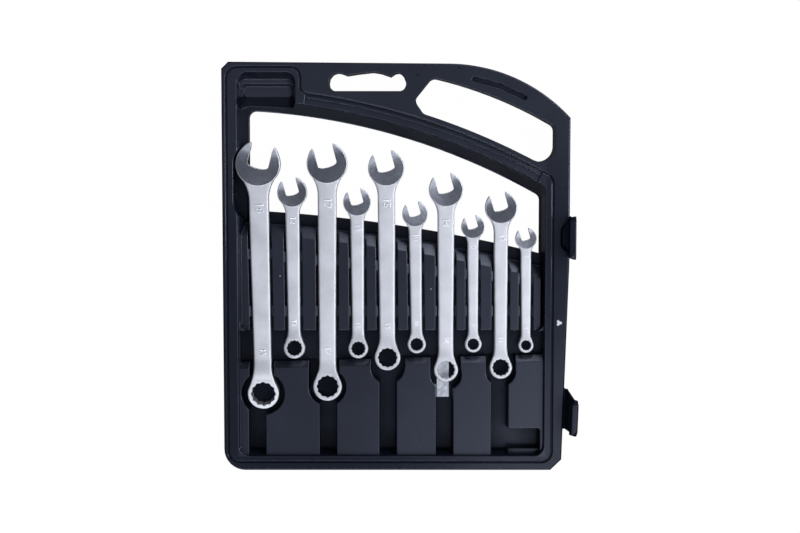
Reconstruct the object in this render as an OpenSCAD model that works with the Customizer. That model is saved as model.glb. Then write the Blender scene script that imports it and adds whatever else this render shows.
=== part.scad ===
// Combination wrench set in its moulded organizer tray.
// The tray lies on its flat back: +Z is the open face, +Y the carrying handle, +X the latch side.
// The origin is the middle of the flat back face.

/* [Tray] */
// Width of the tray
tray_w = 301.8; // [297:0.2:320]
// Length of the tray, handle included
tray_l = 356.4; // [352:0.2:380]
// Depth of the tray from its back to the rim
tray_d = 26; // [26:0.5:32]
// Radius of the outer bow over the handle
bow_r = 144.5; // [142:0.5:156]
// Middle of the bow, to the right of the tray's middle
bow_x = 44.6; // [36:0.2:48]
// How far the crown of the bow lies below the tray's top left
bow_down = 1.6; // [0.2:0.1:3]
// How much the right edge runs in towards the foot
taper_in = 5.8; // [0:0.2:8]
// Height at which the right edge starts to run in
taper_y = 5; // [0:1:20]
// Chamfer at the top left corner
corner_top = 6; // [4:0.5:9]
// Rounding of the bottom left corner
corner_left = 18.5; // [14:0.5:24]
// Chamfer at the bottom right corner
corner_right = 9.3; // [8:0.1:13]
// Rounding of the edge round the back
back_round = 6; // [3:0.5:8]
// Length of the straight part of the relief beside the largest jaw
relief_l = 32; // [24:1:36]
// Inward slope of the outer wall over its whole depth
wall_draft = 1.6; // [0.5:0.1:2.5]
// Chamfer round the rim
rim_chamfer = 1; // [0.4:0.1:1.4]

/* [Border] */
// Flange outside the seal groove: left side
flange_left = 4; // [3:0.1:6]
// Flange outside the seal groove: right side
flange_right = 14.6; // [13:0.1:16.6]
// Flange outside the seal groove: top left
flange_top = 4.4; // [3.5:0.1:6]
// Flange outside the seal groove: foot
flange_foot = 7.2; // [6:0.1:9]
// Width of the seal groove
seal_w = 1.8; // [1.2:0.1:2.4]
// Depth of the seal groove
seal_depth = 1.4; // [0.8:0.1:2]
// Depth of the two grooves that follow the arch
arch_depth = 2; // [1:0.1:2.6]
// Band between the seal groove and the pan: left side
band_left = 8.9; // [7:0.1:9.5]
// Band between the seal groove and the pan: right side
band_right = 6.5; // [5:0.1:8]
// Band between the seal groove and the pan: top left
band_top = 4.2; // [3.5:0.1:6]
// Band between the seal groove and the pan: foot
band_foot = 5.2; // [4:0.1:6.5]
// Band between the seal groove and the pan: along the arch
band_arch = 9.6; // [8:0.1:11]
// Corner radius of the pan
pan_corner = 9; // [6:0.5:11]

/* [Window] */
// Fall of the arch over the window, from its crown to the window's right side
arch_fall = 75.1; // [70:0.1:80]
// How far the crown of the arch lies outside the left edge
arch_out = 5.6; // [0:0.2:10]
// Distance from the top of the tray to the crown of the arch
arch_down = 41.2; // [38:0.2:48]
// Gap between the pan's wall and the window at the left
wall_run_left = 9.2; // [8:0.1:10]
// Gap between the pan's wall and the window at the right
wall_run_right = 3.7; // [3:0.1:5]
// Gap between the pan's wall and the window under the arch
wall_run_arch = 10; // [8:0.1:11]
// Corner radius of the window
window_corner = 6; // [4:0.5:8]
// Height of the ledge round the window
ledge_z = 5; // [4:0.5:7]
// Width of the ledge below the window
ledge_w = 9.6; // [7:0.1:11]

/* [Handle] */
// Width of the hanging slot
hang_w = 67; // [62:0.5:69]
// Height of the hanging slot at its ends
hang_h = 16; // [14:0.2:16.6]
// Middle of the hanging slot, across
hang_x = -24.7; // [-28:0.1:-23]
// Distance from the top of the tray to the foot of the hanging slot
hang_down = 25.2; // [23:0.2:26]
// Bar between the handle opening and the window's arch
handle_low = 24.4; // [23:0.2:27]
// Radius of the handle opening's upper edge
handle_r = 363.4; // [340:0.2:400]
// Middle of that arc, to the left of the bow's middle
handle_out = 92.8; // [85:0.2:100]
// Distance from the top of the tray to the crown of that arc
handle_bar = 4.6; // [3:0.1:8]
// Bar at the right end of the handle opening
handle_end = 13; // [12:0.2:20]
// Left tip of the handle opening, to the left of the bow's middle
handle_tip = 28.8; // [24:0.2:31]
// Distance from the top of the tray to that tip
handle_tip_down = 33.2; // [30:0.2:36]
// Rounding of the handle opening's corners
handle_round_top = 6; // [3:0.5:9]
// Lower right rounding of the handle opening
handle_round_low = 13; // [8:0.5:15]
// Length of the finger groove on the bow
finger_l = 46; // [40:0.5:50]
// Width of the finger groove
finger_w = 5; // [4:0.2:6]
// Depth of the finger groove
finger_depth = 3; // [2:0.2:5]
// Distance of the finger groove from the bow
finger_in = 11.4; // [10:0.2:14]

/* [Pocket] */
// Width of the corner pocket
pocket_w = 51; // [46:0.5:53]
// Length of the pocket's floor
pocket_l = 9; // [7:0.5:10]
// Slope of the pocket's upper wall
pocket_back = 12; // [9:0.5:14]
// Slope of the pocket's lower wall
pocket_front = 13; // [11:0.5:16]
// Height of the shelf in the pocket's upper wall
pocket_shelf_z = 17; // [14:0.5:20]
// Height of the pocket's floor
pocket_z = 6; // [5:0.5:9]

/* [Wrench bed] */
// Height of the ribs between the wrenches
bed_z = 19; // [18:0.2:20]
// Fall of the window's lower edge, which the bed follows, from its crown to the pan's right side
bed_fall = 40.4; // [36:0.2:44]
// How far the crown of that curve lies outside the left edge
bed_out = 48.6; // [40:0.2:56]
// Height of that crown, in hundredths of the tray's length
bed_crown = 14.3; // [13.6:0.1:14.8]
// Height of the step in front of the ribs
step_z = 12; // [10:0.2:12.4]
// Width of that step
step_w = 1.8; // [1:0.1:3]
// Length of the slope on each rib
slope_l = 9.5; // [7:0.1:12]
// Gap between the bed and the pan's right wall
bed_gap = 3.2; // [2.6:0.1:3.5]
// Lower end of the bed, in hundredths of the tray's length
bed_low = -15.5; // [-16.2:0.1:-15]
// Rounding of the bed's free lower corner
bed_corner = 4; // [1:0.5:4.5]
// Gap between a wrench and the ribs beside it
side_gap = 1.9; // [1.2:0.1:2.4]
// Slope of the groove walls, in all
groove_draft = 0.5; // [0.2:0.1:0.8]
// Clearance between a snap nub and the wrench
nub_gap = 0.3; // [0.2:0.05:0.5]
// Length of a snap nub
nub_l = 13; // [9:0.5:15]
// Rounding at the top of a snap nub
nub_round = 0.4; // [0.2:0.1:0.8]
// Middle of the upper nubs on the tray's middle line, in hundredths of the tray's length
nub_high = 0.2; // [-0.8:0.1:0.8]
// Fall of the row of upper nubs across the tray
nub_fall = 0.095; // [0:0.005:0.12]
// Middle of the lower nubs, in hundredths of the tray's length
nub_low = -10.8; // [-11.6:0.1:-10]
// How far the wrenches stand above the ribs
proud = 1.2; // [0.6:0.1:2]

/* [Foot of the pan] */
// Height of the plateaus at the foot
foot_z = 23; // [21:0.2:24]
// Upper end of the plateaus on the tray's middle line, in hundredths of the tray's length
foot_high = -22.6; // [-23:0.1:-21.9]
// Rise of the plateaus' upper end across the tray
foot_rise = 0.026; // [0:0.002:0.05]
// Length of the bevel at the plateaus' upper end
foot_bevel = 5; // [3:0.2:7]
// Height of the valley's floor
valley_z = 9; // [8:0.2:11]
// Height of the floor under the large rings
pit_z = 6; // [5:0.2:6.6]
// Width of the channels below the large rings
channel_w = 15.4; // [13:0.2:16]
// Length of the sloping end of a channel
channel_slope = 4; // [3:0.5:8]
// Right end of the corner recess
corner_recess_in = 3.4; // [2:0.2:5]
// Length of the corner recess
corner_recess_l = 24.3; // [20:0.1:28]
// Height of the ledge in the corner recess
corner_ledge_z = 17; // [14:0.5:20]
// Width of that ledge
corner_ledge_w = 8; // [6:0.5:10]

/* [Wrenches] */
// Clearance of a jaw and a ring over the nut they are made for
fit = 0.1; // [0:0.05:0.2]
// Slant of the open jaws, in degrees
jaw_angle = 15; // [10:1:18]
// Slant of the rings, in degrees
ring_tilt = 7.5; // [5:0.5:10]
// Rise of a ring above the shank's middle plane, as a part of the wrench's size
ring_rise = 0.078; // [0:0.002:0.09]
// Width of a shank at the ring, as a part of its width at the jaw
shank_taper = 0.9; // [0.8:0.02:1]
// Bevel on the faces of the jaws and rings
wrench_bevel = 0.8; // [0.4:0.1:1]

/* [Latches] */
// Length of a latch flap along the edge
flap_l = 36; // [28:0.5:38]
// Reach of a latch flap from its hinge to its tip
flap_reach = 22; // [18:0.5:23]
// Thickness of the leaf
leaf_t = 1.6; // [1.2:0.1:2]
// Thickness of the grip at the tip
grip_t = 6; // [4:0.2:7]
// Breadth of the grip
grip_w = 7; // [5:0.2:9]
// Radius of the rolled hinge edge
hinge_r = 1.2; // [1:0.1:1.5]
// Clearance round the hinge edge
hinge_gap = 0.1; // [0.05:0.01:0.3]
// How far the hinge line stands out from the tray's edge
hinge_out = 2.3; // [2.1:0.1:3]
// Depth of the hinge line below the rim
hinge_down = 1.6; // [1.4:0.1:2.5]
// Distance from the top of the tray to the middle of the upper latch
upper_down = 151.4; // [140:0.2:152]
// Distance from the foot of the tray to the middle of the lower latch
lower_up = 54.2; // [48:0.2:68]
// Length of the finger scoop beside the upper latch
scoop_l = 26; // [20:0.5:30]
// Breadth of the finger scoop
scoop_w = 8; // [5:0.5:10]
// Depth of the finger scoop
scoop_depth = 3; // [2:0.2:3.4]
// Angle at which the upper latch stands above the horizontal
upper_angle = 89; // [60:1:90]
// Angle at which the lower latch stands above the horizontal
lower_angle = 69; // [45:1:90]
// Sideways set of the lower latch's grip, from its bent leaf
lower_skew = 8.2; // [0:0.1:9]
// How much shorter the lower latch's grip is at its lower end
lower_cut = 5.7; // [0:0.1:8]

/* [Sticker] */
// Width of the foil sticker
sticker_w = 10.5; // [8:0.1:11]
// Length of the foil sticker
sticker_l = 34; // [26:0.5:36]
// Thickness of the foil
sticker_t = 0.3; // [0.2:0.05:0.5]
// How far the sticker reaches below the middle of the ring above it
sticker_down = 25.9; // [20:0.1:30]
// Distance of the sticker's middle from that ring's middle, to the left
sticker_in = 2.3; // [1.8:0.1:2.6]

/* [Hidden] */

// The wrenches from left to right: size, ring middle across in hundredths of the tray's width, ring
// middle along and distance from ring to jaw in hundredths of the tray's length, lean in degrees,
// shank width at the jaw, turned over (1) or not (0).
WRENCHES = [
    [19, -38.70, -31.09, 56.37, -1.0, 17.2, 1],
    [12, -29.56, -19.98, 38.33, -0.6, 12.2, 0],
    [17, -19.95, -29.52, 54.91, 0, 16.3, 0],
    [11, -11.00, -20.09, 36.03, -0.4, 11.8, 0],
    [15, -2.49, -22.36, 46.63, -0.4, 15.2, 0],
    [10, 5.99, -19.05, 32.10, -0.8, 11.0, 0],
    [14, 14.48, -25.36, 44.33, -0.1, 14.6, 0],
    [9, 22.40, -19.02, 28.93, -0.3, 9.6, 0],
    [13, 30.41, -24.80, 39.39, -0.1, 12.4, 0],
    [8, 37.74, -19.28, 26.32, -0.3, 9.2, 0],
];
// Places in that list
W_19 = 0;
W_12 = 1;
W_17 = 2;
W_11 = 3;
W_15 = 4;
W_10 = 5;
W_14 = 6;
W_9 = 7;
W_13 = 8;
W_8 = 9;
// The pits at the foot: the wrench whose ring lies there, how far the pit's middle lies below the
// ring's, the gap round the ring, the shift of the channel below it, and the pit's width towards the
// valley, to the left and to the right.
PITS = [
    [W_19, 0, 5.3, -5, 12.1, 9.8],
    [W_17, 0, 4.1, 0.6, 16.7, 10.6],
    [W_15, 8, 3.9, 0.4, 14.8, 15.7],
    [W_14, 4, 3.4, -1.2, 14.0, 13.1],
    [W_13, 3, 3.4, -0.9, 13.4, 13.2],
];

eps = 0.01;
over = 1;
left = -tray_w/2;
right = tray_w/2;
top = tray_l/2;
foot = -tray_l/2;
bow_y = top - bow_down - bow_r;
bow_a = acos((right - bow_x)/bow_r);

// The seal groove's middle line and the pan's edge, side by side
seal_left = left + flange_left;
seal_right = right - flange_right;
seal_top = top - flange_top;
seal_foot = foot + flange_foot;
pan_left = seal_left + band_left;
pan_right = seal_right - band_right;
pan_top_y = seal_top - band_top;
pan_foot = seal_foot + band_foot;
pocket_right = pan_left + pocket_w + over;
seal_pocket = pocket_right + band_top - over;
win_left = pan_left + wall_run_left;
win_right = pan_right - wall_run_right;
arch_x = left - arch_out;
arch_r = arc_r(win_right - arch_x, arch_fall);
arch_y = top - arch_down - arch_r;
pan_arch_r = arch_r + wall_run_arch;
seal_arch_r = pan_arch_r + band_arch;
bed_x = left - bed_out;
bed_r = arc_r(pan_right - bed_x, bed_fall);
bed_y = bed_crown*tray_l/100 - bed_r;
bed_end = bed_low*tray_l/100;
bed_front_r = bed_r - ledge_w;
hang_y = top - hang_down;
upper_y = top - upper_down;
lower_y = foot + lower_up;
wrench_top = bed_z + proud;
recess_right = pan_right - corner_recess_in;
recess_top = pan_foot + corner_recess_l;

// Radius of an arc that falls by the given height over the given run
function arc_r(run, fall) = (run*run + fall*fall)/2/fall;
function size(i) = WRENCHES[i][0];
function ring_at(i) = [WRENCHES[i][1]*tray_w/100, WRENCHES[i][2]*tray_l/100];
function reach(i) = WRENCHES[i][3]*tray_l/100;
function lean(i) = WRENCHES[i][4];
function shank_w(i) = WRENCHES[i][5];
function turned(i) = WRENCHES[i][6];
function ring_r(i) = 0.66*size(i) + 1.4;
function ring_t(i) = 0.45*size(i) + 3;
function jaw_r(i) = 0.925*size(i) + 1.9;
function jaw_t(i) = 0.33*size(i) + 2.3;
function shank_t(i) = 0.3*size(i) + 2;
function seat_z(i) = wrench_top - shank_t(i);
// Where a wrench's middle line passes the height y
function line_x(i, y) = ring_at(i)[0] + (y - ring_at(i)[1])*tan(lean(i));
function arch_at(x, r) = arch_y + sqrt(r*r - (x - arch_x)*(x - arch_x));
function front_at(x, r) = bed_y + sqrt(r*r - (x - bed_x)*(x - bed_x));
function foot_at(x) = foot_high*tray_l/100 + foot_rise*x;
function edge_at(y) = right - max(0, taper_y - y)*taper_in/(taper_y - foot - corner_right);

// A thin slice of a flat shape at height z, for hulls between heights
module slice(z) {
    translate([0, 0, z]) linear_extrude(eps) children();
}

// A flat shape cut right through the tray
module through() {
    translate([0, 0, -over]) linear_extrude(tray_d + 2*over) children();
}

module rounded(r) {
    offset(r = r) offset(delta = -r) children();
}

// Outline of the tray at the rim
module outline() {
    steps = 26;
    intersection() {
        polygon(concat(
            [[left, foot], [left, top - corner_top], [left + corner_top, top]],
            [for (i = [0:steps]) let(a = 90 + (bow_a - 90)*i/steps)
                [bow_x + bow_r*cos(a), bow_y + bow_r*sin(a)]],
            [[right, taper_y], [edge_at(foot + corner_right), foot + corner_right],
             [edge_at(foot) - corner_right, foot]]));
        union() {
            translate([left + corner_left, foot]) square([tray_w, tray_l]);
            translate([left, foot + corner_left]) square([tray_w, tray_l]);
            translate([left + corner_left, foot + corner_left]) circle(corner_left, $fn = 32);
        }
    }
}

// Solid blank of the tray, with its sloping wall and rounded back edge
module blank() {
    hull() {
        slice(0) offset(delta = -wall_draft - back_round) outline();
        slice(back_round*0.13) offset(delta = -wall_draft - back_round*0.5) outline();
        slice(back_round*0.5) offset(delta = -wall_draft - back_round*0.13) outline();
        slice(back_round) offset(delta = -wall_draft) outline();
        slice(tray_d - rim_chamfer) outline();
        slice(tray_d - eps) offset(delta = -rim_chamfer) outline();
    }
}

// Flat shape under the arch, between two sides and down to y0
module under_arch(x0, x1, y0, r) {
    steps = 20;
    polygon(concat([[x0, y0]],
        [for (i = [0:steps]) let(x = x0 + (x1 - x0)*i/steps) [x, arch_at(x, r)]],
        [[x1, y0]]));
}

// Middle line of the seal groove, filled in
module seal_shape() {
    offset(r = -pan_corner/2) offset(r = pan_corner*1.5) offset(delta = -pan_corner) union() {
        under_arch(seal_left, seal_right, seal_foot, seal_arch_r);
        polygon([[seal_left, 0], [seal_left, seal_top - corner_top],
            [seal_left + corner_top, seal_top], [seal_pocket, seal_top], [seal_pocket, 0]]);
    }
}

// Groove that the rim of the lid sits in
module seal_groove() {
    translate([0, 0, tray_d - seal_depth]) linear_extrude(seal_depth + over) difference() {
        offset(delta = seal_w/2) seal_shape();
        offset(delta = -seal_w/2) seal_shape();
    }
}

// Cross-section of the two grooves along the arch: each drops steeply at its outer side and slopes
// gently up to the ridge at its inner side
module arch_section() {
    ridge = seal_arch_r - band_arch*0.42;
    lip = 0.5;
    polygon([[seal_arch_r + lip, tray_d + over], [seal_arch_r + lip, tray_d],
        [seal_arch_r, tray_d - arch_depth], [ridge + lip, tray_d - lip], [ridge, tray_d - lip],
        [ridge - lip, tray_d - arch_depth*0.8], [pan_arch_r + lip, tray_d - lip],
        [pan_arch_r - over, tray_d - lip], [pan_arch_r - over, tray_d + over]]);
}

// The two grooves that follow the arch, inside the seal groove's line
module arch_grooves() {
    a0 = acos((seal_right - pan_corner - arch_x)/seal_arch_r);
    a1 = acos((seal_pocket + pan_corner/2 - arch_x)/seal_arch_r);
    translate([arch_x, arch_y, 0]) rotate(a0)
        rotate_extrude(angle = a1 - a0, $fn = 360) arch_section();
}

// The pan, down to the plateaus at the foot
module pan_cut() {
    slope = (tray_d - foot_z)*0.3;
    hull() {
        slice(foot_z) rounded(pan_corner)
            under_arch(pan_left + slope, pan_right - slope, pan_foot + slope, pan_arch_r - slope);
        slice(tray_d + eps) rounded(pan_corner)
            under_arch(pan_left, pan_right, pan_foot, pan_arch_r);
    }
}

// The pan's upper part, down to the ledge round the window
module window_bay() {
    lip = 0.8;
    hull() {
        slice(ledge_z) rounded(window_corner) under_arch(win_left - lip, win_right + lip,
            bed_end + over, arch_r + lip);
        slice(tray_d + eps) rounded(pan_corner)
            under_arch(pan_left, pan_right, bed_end - over, pan_arch_r);
    }
}

// The window itself, open at the back
module window() {
    difference() {
        rounded(window_corner) under_arch(win_left, win_right, 0, arch_r);
        translate([bed_x, bed_y]) circle(bed_r, $fn = 1440);
    }
}

// Small pocket in the top left corner, with a shelf in its upper wall
module pocket_cut() {
    inset = 5;
    shelf = 4;
    x1 = pan_left + pocket_w;
    y1 = pan_top_y - pocket_back;
    y0 = y1 - pocket_l - pocket_front;
    hull() {
        slice(pocket_z) translate([pan_left + inset, y1 - pocket_l]) rounded(3)
            square([pocket_w - 2*inset + 1, pocket_l]);
        slice(pocket_shelf_z) rounded(pan_corner/2) polygon([[pan_left + 2, y0], [pan_left + 2, y1 + 2],
            [x1 - 2, y1 + 2], [x1 - 2, y0]]);
    }
    hull() {
        slice(pocket_shelf_z) rounded(pan_corner/2) polygon([[pan_left + 2, y0],
            [pan_left + 2, y1 + 2 + shelf], [x1 - 2, y1 + 2 + shelf], [x1 - 2, y0]]);
        slice(tray_d + eps) rounded(pan_corner) polygon([[pan_left, y0],
            [pan_left, pan_top_y - corner_top], [pan_left + corner_top, pan_top_y], [x1, pan_top_y],
            [x1, y0]]);
    }
}

// Cross-section of the bed: ledge, step, slope and rib top, over the radius
module bed_section() {
    back = bed_front_r - tray_l/3;
    polygon([[back, 0], [bed_front_r, 0], [bed_front_r, ledge_z], [bed_front_r - 0.4, step_z],
        [bed_front_r - step_w, step_z], [bed_front_r - step_w - slope_l, bed_z], [back, bed_z]]);
}

// Raised bed that carries the shanks
module bed() {
    sweep = 20;
    intersection() {
        translate([bed_x, bed_y, 0]) rotate(90 - sweep)
            rotate_extrude(angle = sweep + 5, $fn = 1080) bed_section();
        linear_extrude(tray_d) rounded(bed_corner) polygon([[pan_left - 2*bed_corner, bed_end],
            [pan_right - bed_gap, bed_end], [pan_right - bed_gap, top], [pan_left - 2*bed_corner, top]]);
    }
}

// Moves a shape to a wrench's place on the tray, its middle line along +Y
module at_wrench(i) {
    translate([ring_at(i)[0], ring_at(i)[1], 0]) rotate(-lean(i)) children();
}

// Groove for one shank, open at both ends
module groove(i) {
    w = shank_w(i)/2 + side_gap;
    y0 = bed_end - ring_at(i)[1] - over;
    y1 = front_at(line_x(i, 0), bed_front_r) - ring_at(i)[1] + 2*over;
    at_wrench(i) hull() {
        translate([-w + groove_draft, y0, seat_z(i)]) cube([2*(w - groove_draft), y1 - y0, eps]);
        translate([-w, y0, bed_z]) cube([2*w, y1 - y0, over]);
    }
}

// One pair of snap nubs that hold a shank at height y
module nub_pair(i, y) {
    clear = shank_w(i)/2 + nub_gap;
    out = shank_w(i)/2 + side_gap + over;
    slant = out - clear;
    for (side = [-1, 1]) at_wrench(i) translate([0, y - ring_at(i)[1], 0]) scale([side, 1, 1]) hull() {
        translate([clear, -nub_l/2 + slant, seat_z(i) - over]) cube([eps, nub_l - 2*slant,
            bed_z - seat_z(i) + over - 2*nub_round]);
        translate([out, -nub_l/2, seat_z(i) - over]) cube([eps, nub_l,
            bed_z - seat_z(i) + over - nub_round]);
    }
}

// Space beside the largest wrench's jaw and neck, which reaches over the pan's wall
module jaw_relief() {
    r = jaw_r(W_19) + 1.6;
    y = ring_at(W_19)[1] + reach(W_19);
    hull() for (down = [0, relief_l]) translate([line_x(W_19, y), y - down]) {
        slice(seat_z(W_19) - jaw_t(W_19)/2) circle(r - 1, $fn = 44);
        slice(tray_d + eps) circle(r, $fn = 44);
    }
}

// Valley that the small rings lie in, and the bevel on the plateaus below it
module valley_cut() {
    draft = 0.7;
    x0 = pan_left + 2;
    x1 = pan_right - 1;
    hull() {
        slice(valley_z) polygon([[x0, bed_end], [x1, bed_end], [x1, foot_at(x1) + draft],
            [x0, foot_at(x0) + draft]]);
        slice(tray_d + eps) polygon([[pan_left, bed_end + eps], [pan_right, bed_end + eps],
            [pan_right, foot_at(x1)], [pan_left, foot_at(x0)]]);
    }
    hull() {
        slice(foot_z - foot_bevel) polygon([[pan_left, bed_end], [pan_right, bed_end],
            [pan_right, foot_at(x1)], [pan_left, foot_at(x0)]]);
        slice(foot_z + eps) polygon([[pan_left, bed_end], [pan_right, bed_end],
            [pan_right, foot_at(x1) - foot_bevel], [pan_left, foot_at(x0) - foot_bevel]]);
    }
}

// Pit round a large ring, its neck up to the valley, and the channel below
module pit(p) {
    draft = 1;
    r = ring_r(p[0]) + p[2];
    x = ring_at(p[0])[0];
    y = ring_at(p[0])[1] - p[1];
    x0 = x - p[4];
    x1 = x + p[5];
    mid = x + p[3];
    hull() {
        slice(pit_z) translate([x, y]) circle(r - draft, $fn = 40);
        slice(tray_d) translate([x, y]) circle(r, $fn = 40);
    }
    hull() {
        slice(pit_z) translate([x0 + draft, y]) square([x1 - x0 - 2*draft, foot_at(x) - y + over]);
        slice(tray_d) translate([x0, y]) square([x1 - x0, foot_at(x) - y + over]);
    }
    hull() {
        slice(pit_z) translate([mid - channel_w/2 + draft, pan_foot + channel_slope])
            square([channel_w - 2*draft, y - pan_foot - channel_slope]);
        slice(foot_z + eps) translate([mid - channel_w/2, pan_foot + 0.5])
            square([channel_w, y - pan_foot - 0.5]);
    }
}

// Recess in the lower right corner, with a ledge along its foot
module corner_recess() {
    draft = 1;
    x0 = ring_at(W_13)[0];
    ledge_x = x0 + channel_w/2 - draft;
    y1 = pan_foot + channel_slope + 2;
    hull() {
        slice(pit_z) translate([x0, pan_foot + channel_slope])
            square([recess_right - draft - x0, corner_recess_l - draft - channel_slope]);
        slice(foot_z + eps) rounded(2) translate([x0, y1]) square([recess_right - x0, recess_top - y1]);
    }
    hull() {
        slice(corner_ledge_z) translate([ledge_x, pan_foot + draft])
            square([recess_right - draft - ledge_x, corner_ledge_w]);
        slice(foot_z + eps) translate([ledge_x, pan_foot + draft/2])
            square([recess_right - ledge_x, corner_ledge_w]);
    }
}

// Slot at the top for hanging the case up, with its two humps and points
module hang_slot() {
    x0 = hang_x - hang_w/2;
    x1 = hang_x + hang_w/2;
    y1 = hang_y + hang_h;
    rounded(2) polygon([[x0 + 0.6, hang_y + 3.5], [x0, hang_y + 7], [x0 + 0.8, hang_y + 11],
        [x0 + 3.6, y1 - 1.4], [x0 + 7.5, y1], [x0 + 10.5, y1 - 0.4], [x0 + 16, y1 - 2.4],
        [x0 + 27, y1 - 0.7], [hang_x + 5, y1 + 0.6], [hang_x + 12, y1 - 0.5],
        [hang_x + 20.5, y1 - 3.4], [hang_x + 24.5, y1 - 0.6], [x1 - 5, y1], [x1 - 2, y1 - 3],
        [x1, y1 - 8], [x1 - 0.3, hang_y + 4.6], [x1 - 1.8, hang_y + 1.6], [x1 - 4.5, hang_y],
        [x0 + 4.5, hang_y]]);
}

// Opening for the hand: between the bow and the window's arch, with a blunt tip at the left
module handle_opening() {
    tip = [bow_x - handle_tip, top - handle_tip_down];
    x1 = right - handle_end;
    rounded(handle_round_top) intersection() {
        translate([bow_x - handle_out, top - handle_bar - handle_r]) circle(handle_r, $fn = 240);
        translate(tip) polygon([[0, 0], [tray_w, tray_w*tan(51)], [tray_w, -tray_w*tan(56)]]);
        rounded(handle_round_low) difference() {
            translate([tip[0], 0]) square([x1 - tip[0], tray_l]);
            under_arch(tip[0] - over, x1 + over, -over, arch_r + handle_low);
        }
    }
}

// Sunken groove for the fingers on the bow
module finger_groove() {
    r = bow_r - finger_in;
    half = finger_l/r*180/PI/4;
    mid = 70.1;
    for (k = [-2:2:0]) hull() for (a = [mid + half*k, mid + half*(k + 2)])
        translate([bow_x + r*cos(a), bow_y + r*sin(a), tray_d - finger_depth])
            cylinder(h = finger_depth + over, r1 = finger_w/2 - 0.6, r2 = finger_w/2, $fn = 20);
}

// Scoop in the flange for the finger that lifts the upper latch
module finger_scoop() {
    bevel = 2;
    translate([right, upper_y, 0]) hull() for (side = [-1, 1])
        translate([0, side*(scoop_l/2 - scoop_w), tray_d - scoop_depth])
            cylinder(h = scoop_depth + over, r1 = scoop_w - bevel, r2 = scoop_w + bevel*over/scoop_depth,
                $fn = 40);
}

// Places a latch's own axis (its Y axis) on the tray's edge
module at_hinge(y) {
    turn = y < taper_y ? atan(taper_in/(taper_y - foot - corner_right)) : 0;
    translate([edge_at(y) + hinge_out, y, tray_d - hinge_down]) rotate(-turn) children();
}

// Lip on the tray's edge with the hollow that a latch's hinge edge rolls in
module hinge_lip(y) {
    back = hinge_out + 2;
    tip = hinge_r*0.75;
    deep = 2;
    at_hinge(y) difference() {
        translate([-back, -flap_l/2, -deep]) cube([back - tip, flap_l, deep - 0.2]);
        rotate([90, 0, 0]) cylinder(h = flap_l + 2, r = hinge_r + hinge_gap, center = true, $fn = 32);
    }
}

// The moulded tray
module tray() {
    color([0.13, 0.14, 0.16]) {
        difference() {
            union() {
                difference() {
                    blank();
                    window_bay();
                }
                bed();
            }
            pan_cut();
            pocket_cut();
            seal_groove();
            arch_grooves();
            jaw_relief();
            for (i = [0:len(WRENCHES) - 1]) groove(i);
            valley_cut();
            for (p = PITS) pit(p);
            corner_recess();
            finger_groove();
            finger_scoop();
            through() window();
            through() hang_slot();
            through() handle_opening();
        }
        for (i = [0:len(WRENCHES) - 1]) {
            nub_pair(i, nub_high*tray_l/100 - nub_fall*ring_at(i)[0]);
            nub_pair(i, nub_low*tray_l/100);
        }
        hinge_lip(upper_y);
        hinge_lip(lower_y);
    }
}

// Rounded cross-section of a shank at height y
module section(y, w, t) {
    translate([0, y, 0]) rotate([90, 0, 0]) linear_extrude(eps)
        offset(r = t*0.3, $fn = 16) square([w - t*0.6, t*0.4], center = true);
}

// Round plate with bevelled edges, centred on its middle plane
module bevelled_disc(r, t) {
    c = wrench_bevel;
    rotate_extrude($fn = 64) polygon([[0, -t/2], [r - c, -t/2], [r, -t/2 + c], [r, t/2 - c],
        [r - c, t/2], [0, t/2]]);
}

// Moves a shape from the middle plane to a ring's own slanting plane
module at_ring(i) {
    translate([0, 0, ring_rise*size(i)]) rotate([-ring_tilt, 0, 0]) children();
}

// Shank between ring and jaw, with the swelling at both ends
module shank(i) {
    t = shank_t(i);
    w1 = shank_w(i);
    w0 = w1*shank_taper;
    r0 = ring_r(i);
    r1 = jaw_r(i);
    hull() {
        section(r0*0.9, w0, t);
        section(reach(i) - r1*0.8, w1, t);
    }
    hull() {
        section(r0*2.1, w0, t);
        at_ring(i) section(r0*0.7, r0*1.42, ring_t(i)*0.86);
    }
    hull() {
        section(reach(i) - r1*1.5, w1, t);
        section(reach(i) - r1*0.72, r1*1.38, jaw_t(i) - 1);
    }
}

// Twelve-point opening of a ring, with its lead-in on both faces
module box_hole(s, t) {
    af = s + fit;
    for (a = [0, 30]) rotate(a) cylinder(h = t + 2, r = af/2/cos(30), center = true, $fn = 6);
    for (side = [0, 1]) mirror([0, 0, side]) translate([0, 0, t/2 - 0.7])
        cylinder(h = 0.7 + over, r1 = af/2, r2 = af/2 + 1.7, $fn = 48);
}

// Parallel jaw with its shallow V at the throat
module jaw_gap(s, t) {
    af = s + fit;
    linear_extrude(t + 2, center = true) polygon([[-af/2, 0], [0, -0.19*s], [af/2, 0],
        [af/2, 2*s], [-af/2, 2*s]]);
}

// One combination wrench, its ring's middle at the origin and its jaw along +Y
module wrench(i) {
    s = size(i);
    difference() {
        union() {
            shank(i);
            at_ring(i) bevelled_disc(ring_r(i), ring_t(i));
            translate([0, reach(i), 0]) {
                bevelled_disc(jaw_r(i), jaw_t(i));
                rotate(jaw_angle) translate([0, 0.14*s, 0])
                    bevelled_disc(jaw_r(i)*0.93, jaw_t(i));
            }
        }
        at_ring(i) box_hole(s, ring_t(i));
        translate([0, reach(i), 0]) rotate(jaw_angle) jaw_gap(s, jaw_t(i));
    }
}

// A wrench laid in its groove, turned over where it lies face down
module laid_wrench(i) {
    color([0.78, 0.79, 0.81]) at_wrench(i) translate([0, 0, seat_z(i) + shank_t(i)/2])
        rotate([0, 180*turned(i), 0]) wrench(i);
}

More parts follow.
